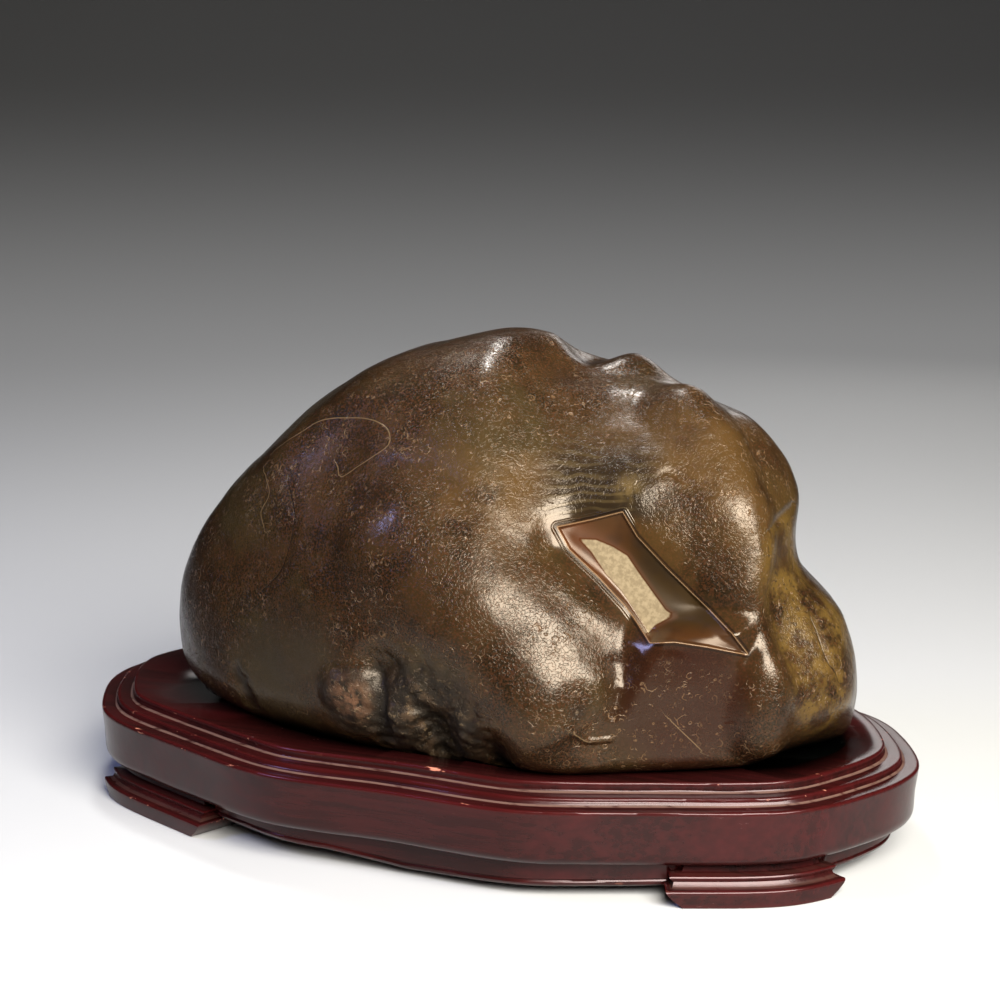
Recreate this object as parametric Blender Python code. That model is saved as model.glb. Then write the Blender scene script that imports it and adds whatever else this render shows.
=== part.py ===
"""A scholar's rock on its wooden stand.

A waxed river stone, about 0.36 m wide, sits in a recess carved to its underside.
The stand is a lobed, stepped board on a plain apron and four scrolled corner feet.
Metres, +Z up, +X along the stand's long side, -Y the front.
The origin is at the middle of the stand, on the table that its feet touch.
"""
import math

import bmesh
import bpy
import numpy as np
from mathutils import Vector

MM = 0.001
TOUCH_GAP = 0.3 * MM

# ---- stand: driving sizes ----
STAND_HALF_LENGTH = 225 * MM
STAND_HALF_DEPTH = 132.5 * MM
RIM_HEIGHT = 46.5 * MM
BOARD_UNDERSIDE = 19 * MM
FIRST_STEP_RISE = 3.7 * MM
FIRST_STEP_INSET = 8.5 * MM
SECOND_STEP_RISE = 4.8 * MM
SECOND_STEP_INSET = 8.5 * MM
COVE_RADIUS = 1.6 * MM
ARRIS = 0.7 * MM
LOWER_ROUND = 6 * MM
SIDE_TAPER = 1.5 * MM
LOOP_STEPS = 3

# A quarter of the rim, from the middle of the front to the nose of the right end.
RIM_QUARTER = (
    (0, STAND_HALF_DEPTH - 2.5 * MM),
    (50 * MM, STAND_HALF_DEPTH),
    (75 * MM, STAND_HALF_DEPTH - 3.5 * MM),
    (128 * MM, 107.5 * MM),
    (180 * MM, 84 * MM),
    (198 * MM, 65 * MM),
    (217 * MM, 30 * MM),
    (STAND_HALF_LENGTH, 0),
)

# ---- apron: its lower edge rises and falls along the stand ----
APRON_INSET = 12 * MM
APRON_EDGE = ((-225, 9), (-85, 9.3), (-35, 7.8), (5, 3.8), (45, 4.8), (110, 5.8), (225, 8.5))

# ---- feet: X of each foot's two tips, and the profile up its face ----
FOOT_SPANS = {"left": (-194 * MM, -108 * MM), "right": (131 * MM, 204 * MM)}
FOOT_THICKNESS = 32 * MM
FOOT_STEPS = 8
# (height, inset from the rim, how far each end draws back), in mm, floor first.
FOOT_PROFILE = (
    (0, 0.6, 9), (7.4, -0.4, 1.5), (8.6, 0.2, 1), (9.2, 3.2, 4), (11.5, 4.8, 5),
    (13.4, 4.4, 3), (14.2, 5.2, 3.5), (14.8, 9.5, 9), (18.7, 10.5, 11))

# ---- recess for the stone: its edge on the board's top, in mm, one way round ----
RECESS_EDGE = (
    (-158, -21), (-145, -44), (-115, -63), (-80, -84), (-45, -94), (5, -97), (62, -95),
    (97, -81), (128, -63), (166, -48), (180, -28), (188, -6), (184, 20), (160, 52),
    (110, 78), (40, 88), (-40, 86), (-105, 68), (-146, 38), (-158, 8))
RECESS_STEPS = 3
STONE_CLEARANCE = 0.5 * MM

# ---- stone: driving sizes ----
STONE_HEART = np.array((8, 0, 84)) * MM
REACH_LEFT, REACH_RIGHT = 178 * MM, 180 * MM
REACH_FRONT, REACH_BACK = 106 * MM, 100 * MM
REACH_UP, REACH_DOWN = 164 * MM, 42 * MM
PLAN_SQUARENESS = 2.3
UPPER_SQUARENESS = 2.0
LOWER_SQUARENESS = 3.0
STONE_UNDERSIDE = 42 * MM
STONE_ROUNDS = 5

# Broad worn faces: (a place on the plane, the way it faces, softness of its edge).
BROAD_FACES = (
    ((-78, 0, 220), (-0.66, -0.10, 0.75), 16),
    ((120, 0, 222.5), (0.60, 0.05, 0.80), 12),
    ((167, 0, 150), (0.92, 0.35, 0.10), 12),
    ((128, -86, 100), (0.48, -0.87, 0.05), 6),
)
# Rounded mounds and dishes: (place, reach, lift).
MOUNDS = (
    ((20, -95, 130), 120, 9),
    ((-140, -30, 110), 70, 3),
    ((-155, 0, 150), 60, -6),
    ((-32, 0, 245), 44, -2),
    ((14, 0, 250), 40, 3),
    ((48, 20, 243), 24, -7),
    ((68, 20, 240), 24, 4),
    ((112, 12, 226), 28, -3),
    ((-96, -10, 205), 40, 3),
    ((136, 0, 204), 55, 8),
    ((178, 15, 86), 82, 20),
    ((186, -22, 44), 46, -12),
    ((-11, -105, 100), 18, -7),
    ((17, -104, 70), 20, -9),
    ((45, -103, 68), 16, -5),
    ((-36, -104, 86), 14, 4),
    ((85, -99, 87), 20, -5),
    ((91, -97, 70), 14, 3),
    ((-58, -72, 192), 36, -5),
    ((70, -104, 75), 50, 8),
    ((146, -52, 174), 40, 6),
    ((168, -66, 100), 40, 5),
    ((147, -62, 161), 26, -5),
    ((84, -36, 214), 38, -5),
    ((-20, 104, 150), 90, 6),
    ((70, 96, 110), 70, -7),
    ((-90, 84, 90), 60, -5),
)
# Channels and ridges: (path, reach, depth).
CHANNELS = (
    (((58, -20, 240), (63, -50, 222), (68, -70, 200), (80, -82, 175), (108, -82, 148),
      (128, -80, 122)), 50, 13),
    (((78, -84, 166), (110, -82, 145), (138, -74, 122)), 26, 7),
    (((104, -14, 214), (122, -27, 200), (141, -45, 172), (150, -60, 141), (161, -66, 100), (159, -64, 70)), 24, -10),
    (((150, 50, 150), (165, 10, 146), (172, -25, 143), (172, -45, 125)), 34, 9),
    (((112, -92, 116), (106, -97, 98), (104, -97, 88)), 13, 5),
    (((-6, -102, 160), (8, -106, 149), (30, -110, 131), (50, -109, 111), (72, -103, 86)), 42, -9),
)
# The flat panel under the window, between the belly and the ridge: the skin is drawn onto a plane.
PANEL_PLACE, PANEL_FACING = (128, -84, 96), (0.47, -0.88, -0.06)
BELLY_EDGE, BELLY_EDGE_HEIGHT, BELLY_EDGE_LEAN = 106, 112, 0.19
PANEL_START, PANEL_END, PANEL_TOP, PANEL_FOOT = (-8, 6), (148, 162), (124, 134), (50, 68)
# Low down the panel eases into the belly over a wider strip.
PANEL_EASE, PANEL_EASE_HEIGHTS = 30, (62, 92)

# The polished window: a sunk panel in the valley. Its outline is flat on the panel, in mm.
WINDOW_CENTRE = (104, -70, 143)
WINDOW_ACROSS = Vector((0.969, 0.247, 0.0))
WINDOW_UP = Vector((-0.05, 0.195, 0.98))
WINDOW_OUTLINE = (
    (-39, 25), (-23, 29), (-9, 33), (-2, 22), (12, 8), (25, -4), (44, -21), (51, -30),
    (34, -27), (18, -25), (7, -26), (-6, -10), (-19, 3), (-33, 15))
WINDOW_DEPTH = 2.6
WINDOW_EDGE = 2.5
WINDOW_REACH = 25
REFINED_MARGIN = 2.5

WOOD = ("mahogany_lacquer", (0.10, 0.012, 0.012, 1), 0.35)
STONE = ("waxed_stone", (0.075, 0.042, 0.022, 1), 0.25)


def clear_scene():
    for thing in list(bpy.data.objects):
        bpy.data.objects.remove(thing, do_unlink=True)


def finish_material(name, colour, roughness):
    material = bpy.data.materials.get(name) or bpy.data.materials.new(name)
    material.use_nodes = True
    shader = material.node_tree.nodes["Principled BSDF"]
    shader.inputs["Base Color"].default_value = colour
    shader.inputs["Roughness"].default_value = roughness
    shader.inputs["Metallic"].default_value = 0.0
    return material


def add_object(name, mesh, collection, finish=None):
    thing = bpy.data.objects.new(name, mesh)
    collection.objects.link(thing)
    if finish:
        mesh.materials.append(finish_material(*finish))
    return thing


# ---- plan outlines ----
def smooth_loop(corners, steps):
    """A closed curve through the corners, rounded between them."""
    loop = []
    count = len(corners)
    for index in range(count):
        before, start, end, after = (Vector(corners[(index + k) % count]) for k in (-1, 0, 1, 2))
        for step in range(steps):
            t = step / steps
            loop.append(0.5 * (
                2 * start + (end - before) * t
                + (2 * before - 5 * start + 4 * end - after) * t ** 2
                + (3 * start - before - 3 * end + after) * t ** 3))
    return loop


def rim_loop():
    """The rim seen from above, counter-clockwise, the same in all four quarters."""
    front_right = [(x, -y) for x, y in RIM_QUARTER]
    right_back = [(x, y) for x, y in reversed(RIM_QUARTER[:-1])]
    back_left = [(-x, y) for x, y in RIM_QUARTER[1:]]
    left_front = [(-x, -y) for x, y in reversed(RIM_QUARTER[1:-1])]
    return smooth_loop(front_right + right_back + back_left + left_front, LOOP_STEPS)


def inset_loop(loop, inset):
    """The loop moved towards its inside by the same distance everywhere."""
    moved = []
    count = len(loop)
    for index, point in enumerate(loop):
        along = (loop[(index + 1) % count] - loop[index - 1]).normalized()
        moved.append(point + Vector((-along.y, along.x)) * inset)
    return moved


def stacked_solid(name, levels, collection, finish):
    """A closed solid lofted through level outlines, each a list of (x, y, z), bottom first."""
    mesh = bpy.data.meshes.new(name)
    form = bmesh.new()
    rings = [[form.verts.new(point) for point in level] for level in levels]
    for lower, upper in zip(rings, rings[1:]):
        for index in range(len(lower)):
            form.faces.new((lower[index - 1], lower[index], upper[index], upper[index - 1]))
    form.faces.new(rings[-1])
    form.faces.new(rings[0][::-1])
    bmesh.ops.triangulate(form, faces=form.faces[:])
    bmesh.ops.recalc_face_normals(form, faces=form.faces[:])
    form.to_mesh(mesh)
    form.free()
    return add_object(name, mesh, collection, finish)


# ---- stand ----
def board_profile():
    """(inset, height) up the board's edge: rounded foot, side, two coved steps, top."""
    profile = [(LOWER_ROUND + SIDE_TAPER + 3 * MM, BOARD_UNDERSIDE)]
    for step in range(4):
        turn = math.radians(90 - 30 * step)
        profile.append((SIDE_TAPER + LOWER_ROUND * (1 - math.cos(turn)),
                        BOARD_UNDERSIDE + LOWER_ROUND * (1 - math.sin(turn))))
    profile.append((0, RIM_HEIGHT - ARRIS))
    inset, height = 0, RIM_HEIGHT
    for rise, step_inset in ((FIRST_STEP_RISE, FIRST_STEP_INSET), (SECOND_STEP_RISE, SECOND_STEP_INSET)):
        profile.append((inset + ARRIS, height))
        profile.append((inset + step_inset - COVE_RADIUS, height))
        profile.append((inset + step_inset - 0.3 * COVE_RADIUS, height + 0.3 * COVE_RADIUS))
        profile.append((inset + step_inset, height + COVE_RADIUS))
        inset, height = inset + step_inset, height + rise
        profile.append((inset, height - ARRIS))
    profile.append((inset + ARRIS, height))
    return profile


BOARD_TOP = RIM_HEIGHT + FIRST_STEP_RISE + SECOND_STEP_RISE


def make_board(collection):
    rim = rim_loop()
    levels = [[(*point, height) for point in inset_loop(rim, inset)]
              for inset, height in board_profile()]
    return stacked_solid("stand_board", levels, collection, WOOD)


def apron_edge_height(x):
    places, heights = zip(*APRON_EDGE)
    return float(np.interp(x / MM, places, heights)) * MM


def make_apron(collection):
    outline = inset_loop(rim_loop(), APRON_INSET)
    levels = [[(*point, apron_edge_height(point.x)) for point in outline],
              [(*point, BOARD_UNDERSIDE - TOUCH_GAP) for point in outline]]
    return stacked_solid("stand_apron", levels, collection, WOOD)


def cut_away(thing, cutter):
    """Take the cutter's shape out of a piece."""
    cutter.hide_render = True
    cutter.display_type = "WIRE"
    cut = thing.modifiers.new("cut_" + cutter.name, "BOOLEAN")
    cut.operation = "DIFFERENCE"
    cut.solver = "EXACT"
    cut.object = cutter


def rim_stretch(tips, side):
    """The rim between two X places, as points and inward directions, on the front or back."""
    rim = rim_loop()
    inner = inset_loop(rim, 1)
    run = sorted(((p.x, p.y, q.x - p.x, q.y - p.y) for p, q in zip(rim, inner) if p.y < 0),
                 key=lambda row: row[0])
    run = np.array(run)
    length = np.concatenate(((0,), np.cumsum(np.hypot(np.diff(run[:, 0]), np.diff(run[:, 1])))))
    start, end = np.interp(tips, run[:, 0], length)

    def place(distance):
        x, y, across_x, across_y = (np.interp(distance, length, run[:, k]) for k in range(4))
        return Vector((x, y * side)), Vector((across_x, across_y * side))

    return place, start, end


def make_foot(name, tips, side, collection, finish, growth=0.0):
    """A scrolled foot: its face follows the rim and draws in towards the floor."""
    place, start, end = rim_stretch(tips, side)
    levels = []
    for height, inset, draw in FOOT_PROFILE:
        low, high = start + draw * MM - growth, end - draw * MM + growth
        outline = []
        for step in range(FOOT_STEPS + 1):
            point, inward = place(low + (high - low) * step / FOOT_STEPS)
            outline.append(point + inward * (inset * MM - growth))
        for distance in (high, low):
            point, inward = place(distance)
            outline.append(point + inward * (FOOT_THICKNESS + growth))
        levels.append([(*point, height * MM) for point in outline])
    if growth:
        levels = ([[(x, y, z - growth) for x, y, z in levels[0]]] + levels[1:-1]
                  + [[(x, y, z + growth) for x, y, z in levels[-1]]])
    return stacked_solid(name, levels, collection, finish)


def make_stand(pieces, cutters, stone):
    board = make_board(pieces)
    recess = smooth_loop([(x * MM, y * MM) for x, y in RECESS_EDGE], RECESS_STEPS)
    floor = STONE_UNDERSIDE - TOUCH_GAP
    prism = stacked_solid("recess_edge", [[(*point, height) for point in recess]
                                          for height in (floor, BOARD_TOP + 10 * MM)], cutters, None)
    cut_away(board, prism)
    cut_away(board, grown_copy(stone, STONE_CLEARANCE, cutters))
    apron = make_apron(pieces)
    for end, tips in FOOT_SPANS.items():
        for side, word in ((1, "front"), (-1, "back")):
            make_foot(f"foot_{word}_{end}", tips, side, pieces, WOOD)
            cut_away(apron, make_foot(f"room_{word}_{end}", tips, side, cutters, None, TOUCH_GAP))


# ---- stone ----
def grown_copy(thing, growth, collection):
    """A copy of a piece whose faces all stand a little further out."""
    mesh = thing.data.copy()
    form = bmesh.new()
    form.from_mesh(mesh)
    form.normal_update()
    for vert, move in [(vert, vert.normal * growth) for vert in form.verts]:
        vert.co += move
    form.to_mesh(mesh)
    form.free()
    return add_object(thing.name + "_room", mesh, collection)


def fade(distance, reach):
    """1 at the middle of a stroke, 0 from its reach on, smooth at both ends."""
    share = np.clip(distance / reach, 0, 1)
    return (1 - share ** 2) ** 2


def distance_to_path(points, path):
    nearest = np.full(len(points), np.inf)
    for start, end in zip(path, path[1:]):
        along = end - start
        share = np.clip((points - start) @ along / (along @ along), 0, 1)
        nearest = np.minimum(nearest, np.linalg.norm(points - start - share[:, None] * along, axis=1))
    return nearest


def stone_block(directions):
    """The plain boulder before shaping: surface points for unit directions from its heart."""
    plan = (np.abs(directions[:, :2]) ** PLAN_SQUARENESS).sum(1) ** (1 / PLAN_SQUARENESS)
    up = directions[:, 2]
    power = np.where(up > 0, UPPER_SQUARENESS, LOWER_SQUARENESS)
    form = directions / ((plan ** power + np.abs(up) ** power) ** (1 / power))[:, None]
    reach_x = 0.5 * (REACH_RIGHT + REACH_LEFT) + 0.5 * (REACH_RIGHT - REACH_LEFT) * directions[:, 0]
    reach_y = 0.5 * (REACH_BACK + REACH_FRONT) + 0.5 * (REACH_BACK - REACH_FRONT) * directions[:, 1]
    reach_z = np.where(up > 0, REACH_UP, REACH_DOWN)
    return STONE_HEART + form * np.stack((reach_x, reach_y, reach_z), 1)


def outward(points):
    away = points - STONE_HEART
    return away / np.linalg.norm(away, axis=1)[:, None]


def swell(points, place, reach, lift):
    """Raise a rounded mound, or sink a dish where the lift is negative."""
    away = np.linalg.norm(points - np.array(place) * MM, axis=1)
    return points + outward(points) * (lift * MM * fade(away, reach * MM))[:, None]


def crease(points, path, reach, depth):
    """Press a soft-sided channel along a path; a negative depth raises a ridge."""
    away = distance_to_path(points, np.array(path, float) * MM)
    return points - outward(points) * (depth * MM * fade(away, reach * MM))[:, None]


def flatten(points, place, facing, softness):
    """Ease all that stands beyond a plane back towards it, with a soft edge."""
    facing = np.array(facing, float)
    facing /= np.linalg.norm(facing)
    beyond = (points - np.array(place) * MM) @ facing
    soft = softness * MM
    kept = np.where(beyond > soft, 0.0, -((soft - beyond) ** 2) / (4 * soft))
    kept = np.where(beyond < -soft, beyond, kept)
    return points + facing * (kept - beyond)[:, None]


def ease(value, low, high):
    """0 below low, 1 above high, smooth between."""
    share = np.clip((value - low) / (high - low), 0, 1)
    return share * share * (3 - 2 * share)


def wear_panel(points):
    """Draw the lower right of the front onto a plane, between the belly and the ridge."""
    x, y, height = (points[:, k] / MM for k in range(3))
    past = x - BELLY_EDGE - BELLY_EDGE_LEAN * (height - BELLY_EDGE_HEIGHT)
    start = PANEL_START[0] - PANEL_EASE * (1 - ease(height, *PANEL_EASE_HEIGHTS))
    facing = np.array(PANEL_FACING) / np.linalg.norm(PANEL_FACING)
    beyond = (points - np.array(PANEL_PLACE) * MM) @ facing
    share = ease(past, start, PANEL_START[1]) * (1 - ease(x, *PANEL_END)) * (1 - ease(height, *PANEL_TOP))
    share *= np.where(beyond > 0, 1, ease(height, *PANEL_FOOT)) * (y < 0)
    return points - facing * (beyond * share)[:, None]


def shape_stone(directions):
    points = stone_block(directions)
    for place, facing, softness in BROAD_FACES:
        points = flatten(points, place, facing, softness)
    for place, reach, lift in MOUNDS:
        points = swell(points, place, reach, lift)
    for path, reach, depth in CHANNELS:
        points = crease(points, path, reach, depth)
    points = wear_panel(points)
    points -= outward(points) * (WINDOW_DEPTH * MM * window_share(points))[:, None]
    points[:, 2] = np.maximum(points[:, 2], STONE_UNDERSIDE)
    return points


def distance_inside(points, outline):
    """How far flat points lie inside a closed outline; outside is negative."""
    nearest = np.full(len(points), np.inf)
    inside = np.zeros(len(points), bool)
    for start, end in zip(outline, outline[1:] + outline[:1]):
        start, end = np.array(start, float), np.array(end, float)
        along, off = end - start, points - start
        share = np.clip(off @ along / (along @ along), 0, 1)
        nearest = np.minimum(nearest, np.linalg.norm(off - share[:, None] * along, axis=1))
        spans = (start[1] > points[:, 1]) != (end[1] > points[:, 1])
        crossing = start[0] + along[0] * (points[:, 1] - start[1]) / (along[1] if along[1] else 1)
        inside ^= spans & (points[:, 0] < crossing)
    return np.where(inside, nearest, -nearest)


def window_inside(points):
    """Distance inside the window's outline in mm, for points near its panel."""
    off = points / MM - np.array(WINDOW_CENTRE)
    flat = np.stack((off @ np.array(WINDOW_ACROSS), off @ np.array(WINDOW_UP)), 1)
    away = np.abs(off @ np.array(WINDOW_ACROSS.cross(WINDOW_UP)))
    return np.where(away < WINDOW_REACH, distance_inside(flat, WINDOW_OUTLINE), -np.inf)


def window_share(points):
    """0 outside the window, 1 on its floor, with a narrow sloping edge."""
    share = np.clip(window_inside(points) / WINDOW_EDGE, 0, 1)
    return share * share * (3 - 2 * share)


def unit_directions(form):
    form.verts.ensure_lookup_table()
    form.verts.index_update()
    directions = np.array([vert.co[:] for vert in form.verts])
    return directions / np.linalg.norm(directions, axis=1)[:, None]


def make_stone(collection):
    mesh = bpy.data.meshes.new("stone")
    form = bmesh.new()
    bmesh.ops.create_icosphere(form, subdivisions=STONE_ROUNDS, radius=1)
    inside = window_inside(shape_stone(unit_directions(form)))
    near = [edge for edge in form.edges
            if max(inside[vert.index] for vert in edge.verts) > -REFINED_MARGIN]
    bmesh.ops.subdivide_edges(form, edges=near, cuts=1, use_grid_fill=True)
    bmesh.ops.triangulate(form, faces=form.faces[:])
    for vert, point in zip(form.verts, shape_stone(unit_directions(form))):
        vert.co = point
    form.to_mesh(mesh)
    form.free()
    mesh.shade_smooth()
    return add_object("stone", mesh, collection, STONE)


def main():
    clear_scene()
    pieces = bpy.data.collections.new("scholars_rock")
    bpy.context.scene.collection.children.link(pieces)
    cutters = bpy.data.collections.new("cutters")
    bpy.context.scene.collection.children.link(cutters)
    make_stand(pieces, cutters, make_stone(pieces))


main()
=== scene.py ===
"""The looks of a scholar's rock: a waxed river stone with a polished window, on its stand."""
import math

import bmesh
import bpy
import numpy as np
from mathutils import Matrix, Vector, noise


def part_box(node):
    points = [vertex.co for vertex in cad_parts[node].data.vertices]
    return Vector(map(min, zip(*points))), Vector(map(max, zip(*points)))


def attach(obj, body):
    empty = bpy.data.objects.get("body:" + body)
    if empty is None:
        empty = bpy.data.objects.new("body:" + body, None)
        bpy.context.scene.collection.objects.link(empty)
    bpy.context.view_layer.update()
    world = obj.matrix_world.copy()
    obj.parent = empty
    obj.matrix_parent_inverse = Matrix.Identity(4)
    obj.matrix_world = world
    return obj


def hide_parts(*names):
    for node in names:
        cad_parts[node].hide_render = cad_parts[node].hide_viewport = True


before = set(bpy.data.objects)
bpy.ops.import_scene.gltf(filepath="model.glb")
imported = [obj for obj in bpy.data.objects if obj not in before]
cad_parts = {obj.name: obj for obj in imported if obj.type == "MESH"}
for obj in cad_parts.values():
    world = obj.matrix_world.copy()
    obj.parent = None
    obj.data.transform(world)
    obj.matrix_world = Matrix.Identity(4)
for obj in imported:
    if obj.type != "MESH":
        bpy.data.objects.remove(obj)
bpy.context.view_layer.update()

MM = 0.001

# ---- Camera ----
CAMERA_PLACE = (0.4103, -0.9717, 0.3721)
CAMERA_TURN = (78.72, -0.33, 22.75)
LENS_MM = 75.36
SENSOR_MM = 36


def place_camera():
    """The camera stands to the right of the front and looks a little down."""
    camera = bpy.data.objects.new("camera", bpy.data.cameras.new("camera"))
    bpy.context.scene.collection.objects.link(camera)
    camera.location = CAMERA_PLACE
    camera.rotation_euler = [math.radians(angle) for angle in CAMERA_TURN]
    camera.data.lens = LENS_MM
    camera.data.sensor_width = SENSOR_MM
    camera.data.clip_start = 0.01
    bpy.context.scene.camera = camera


# ---- Stone: its form, in mm. A stroke takes points and gives them back moved ----
HEART = np.array((8.0, 0.0, 84.0))
REACH_LEFT, REACH_RIGHT = 178, 180
REACH_FRONT, REACH_BACK = 106, 100
REACH_UP, REACH_DOWN = 164, 42
PLAN_SQUARENESS = 2.3
UPPER_SQUARENESS = 2.0
LOWER_SQUARENESS = 3.0
UNDERSIDE = 42

# Broad worn faces: (a place on the plane, the way it faces, softness of its edge).
BROAD_FACES = (
    ((-78, 0, 220), (-0.66, -0.10, 0.75), 16),
    ((120, 0, 222.5), (0.60, 0.05, 0.80), 12),
    ((167, 0, 150), (0.92, 0.35, 0.10), 12),
    ((128, -86, 100), (0.48, -0.87, 0.05), 6),
)
# Rounded mounds and dishes: (place, reach, lift).
MOUNDS = (
    ((20, -95, 130), 120, 9),
    ((-140, -30, 110), 70, 3),
    ((-155, 0, 150), 60, -6),
    ((-32, 0, 245), 44, -2),
    ((14, 0, 250), 40, 3),
    ((48, 20, 243), 24, -7),
    ((68, 20, 240), 24, 4),
    ((112, 12, 226), 28, -3),
    ((-96, -10, 205), 40, 3),
    ((136, 0, 204), 55, 8),
    ((178, 15, 86), 82, 20),
    ((186, -22, 44), 46, -12),
    ((-11, -105, 100), 18, -7),
    ((17, -104, 70), 20, -9),
    ((45, -103, 68), 16, -5),
    ((-36, -104, 86), 14, 4),
    ((85, -99, 87), 20, -5),
    ((91, -97, 70), 14, 3),
    ((-58, -72, 192), 36, -5),
    ((70, -104, 75), 50, 8),
    ((146, -52, 174), 40, 6),
    ((168, -66, 100), 40, 5),
    ((147, -62, 161), 26, -5),
    ((84, -36, 214), 38, -5),
    ((-20, 104, 150), 90, 6),
    ((70, 96, 110), 70, -7),
    ((-90, 84, 90), 60, -5),
)
# Channels and ridges: (path, reach, depth).
CHANNELS = (
    (((58, -20, 240), (63, -50, 222), (68, -70, 200), (80, -82, 175), (108, -82, 148),
      (128, -80, 122)), 50, 13),
    (((78, -84, 166), (110, -82, 145), (138, -74, 122)), 26, 7),
    (((104, -14, 214), (122, -27, 200), (141, -45, 172), (150, -60, 141), (161, -66, 100),
      (159, -64, 70)), 24, -10),
    (((150, 50, 150), (165, 10, 146), (172, -25, 143), (172, -45, 125)), 34, 9),
    (((112, -92, 116), (106, -97, 98), (104, -97, 88)), 13, 5),
    (((-6, -102, 160), (8, -106, 149), (30, -110, 131), (50, -109, 111), (72, -103, 86)), 42, -9),
)
# The flat panel under the window, between the belly and the ridge: the skin is drawn onto a plane.
PANEL_PLACE, PANEL_FACING = (128, -84, 96), (0.47, -0.88, -0.06)
BELLY_EDGE, BELLY_EDGE_HEIGHT, BELLY_EDGE_LEAN = 106, 112, 0.19
PANEL_START, PANEL_END, PANEL_TOP, PANEL_FOOT = (-8, 6), (148, 162), (124, 134), (50, 68)
# Low down the panel eases into the belly over a wider strip.
PANEL_EASE, PANEL_EASE_HEIGHTS = 30, (62, 92)

# The polished window: a sunk panel in the valley. Outlines are flat on the panel.
WINDOW_CENTRE = np.array((104.0, -70.0, 143.0))
WINDOW_ACROSS = np.array((0.969, 0.247, 0.0))
WINDOW_UP = np.array((-0.05, 0.195, 0.98))
WINDOW_OUTLINE = (
    (-39, 25), (-23, 29), (-9, 33), (-2, 22), (12, 8), (25, -4), (44, -21), (51, -30),
    (34, -27), (18, -25), (7, -26), (-6, -10), (-19, 3), (-33, 15))
CREAM_OUTLINE = (
    (-29, 20), (-21, 20), (-13, 17), (-6, 13), (-1, 6), (6, -3), (13, -12), (17, -14),
    (13, -16), (8, -19), (5, -23), (-1, -14), (-8, -4), (-16, 4), (-23, 14))
WINDOW_DEPTH = 2.5
WINDOW_STEP = 0.9
WINDOW_EDGE = 0.9
WINDOW_REACH = 25
OFF_THE_PANEL = -99.0


def fade(distance, reach):
    """1 at the middle of a stroke, 0 from its reach on, smooth at both ends."""
    share = np.clip(distance / reach, 0, 1)
    return (1 - share ** 2) ** 2


def ease(value, low, high):
    """0 below low, 1 above high, smooth between."""
    share = np.clip((value - low) / (high - low), 0, 1)
    return share * share * (3 - 2 * share)


def outward(points):
    """Unit directions from the stone's heart."""
    away = points - HEART
    return away / np.linalg.norm(away, axis=1)[:, None]


def distance_to_path(points, path):
    """How far each point is from a line of straight runs."""
    path = np.array(path, float)
    nearest = np.full(len(points), np.inf)
    for start, end in zip(path, path[1:]):
        along = end - start
        share = np.clip((points - start) @ along / (along @ along), 0, 1)
        off = points - start - share[:, None] * along
        nearest = np.minimum(nearest, np.linalg.norm(off, axis=1))
    return nearest


def swell(points, place, reach, lift):
    """Raise a rounded mound, or sink a dish where the lift is negative."""
    away = np.linalg.norm(points - np.array(place), axis=1)
    return points + outward(points) * (lift * fade(away, reach))[:, None]


def crease(points, path, reach, depth):
    """Press a soft-sided channel along a path; a negative depth raises a ridge."""
    return points - outward(points) * (depth * fade(distance_to_path(points, path), reach))[:, None]


def flatten(points, place, facing, softness):
    """Ease all that stands beyond a plane back towards it, with a soft edge."""
    facing = np.array(facing) / np.linalg.norm(facing)
    beyond = (points - np.array(place)) @ facing
    kept = np.where(beyond > softness, 0.0, -((softness - beyond) ** 2) / (4 * softness))
    kept = np.where(beyond < -softness, beyond, kept)
    return points + facing * (kept - beyond)[:, None]


def boulder(directions):
    """The plain boulder before shaping: surface points for unit directions from its heart."""
    plan = (np.abs(directions[:, :2]) ** PLAN_SQUARENESS).sum(1) ** (1 / PLAN_SQUARENESS)
    up = directions[:, 2]
    power = np.where(up > 0, UPPER_SQUARENESS, LOWER_SQUARENESS)
    form = directions / ((plan ** power + np.abs(up) ** power) ** (1 / power))[:, None]
    ends = ((REACH_RIGHT, REACH_LEFT), (REACH_BACK, REACH_FRONT))
    reach_x, reach_y = (0.5 * (high + low) + 0.5 * (high - low) * directions[:, axis]
                        for axis, (high, low) in enumerate(ends))
    reach_z = np.where(up > 0, REACH_UP, REACH_DOWN)
    return HEART + form * np.stack((reach_x, reach_y, reach_z), 1)


def distance_inside(flat, outline):
    """How far flat points lie inside a closed outline; outside is negative."""
    nearest = np.full(len(flat), np.inf)
    inside = np.zeros(len(flat), bool)
    for start, end in zip(outline, outline[1:] + outline[:1]):
        start, end = np.array(start, float), np.array(end, float)
        along, off = end - start, flat - start
        share = np.clip(off @ along / (along @ along), 0, 1)
        nearest = np.minimum(nearest, np.linalg.norm(off - share[:, None] * along, axis=1))
        spans = (start[1] > flat[:, 1]) != (end[1] > flat[:, 1])
        crossing = start[0] + along[0] * (flat[:, 1] - start[1]) / (along[1] if along[1] else 1)
        inside ^= spans & (flat[:, 0] < crossing)
    return np.where(inside, nearest, -nearest)


def window_inside(points, outline):
    """Distance inside an outline on the window's panel, for points near the panel."""
    off = points - WINDOW_CENTRE
    flat = np.stack((off @ WINDOW_ACROSS, off @ WINDOW_UP), 1)
    away = np.abs(off @ np.cross(WINDOW_ACROSS, WINDOW_UP))
    return np.where(away < WINDOW_REACH, distance_inside(flat, outline), OFF_THE_PANEL)


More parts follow.
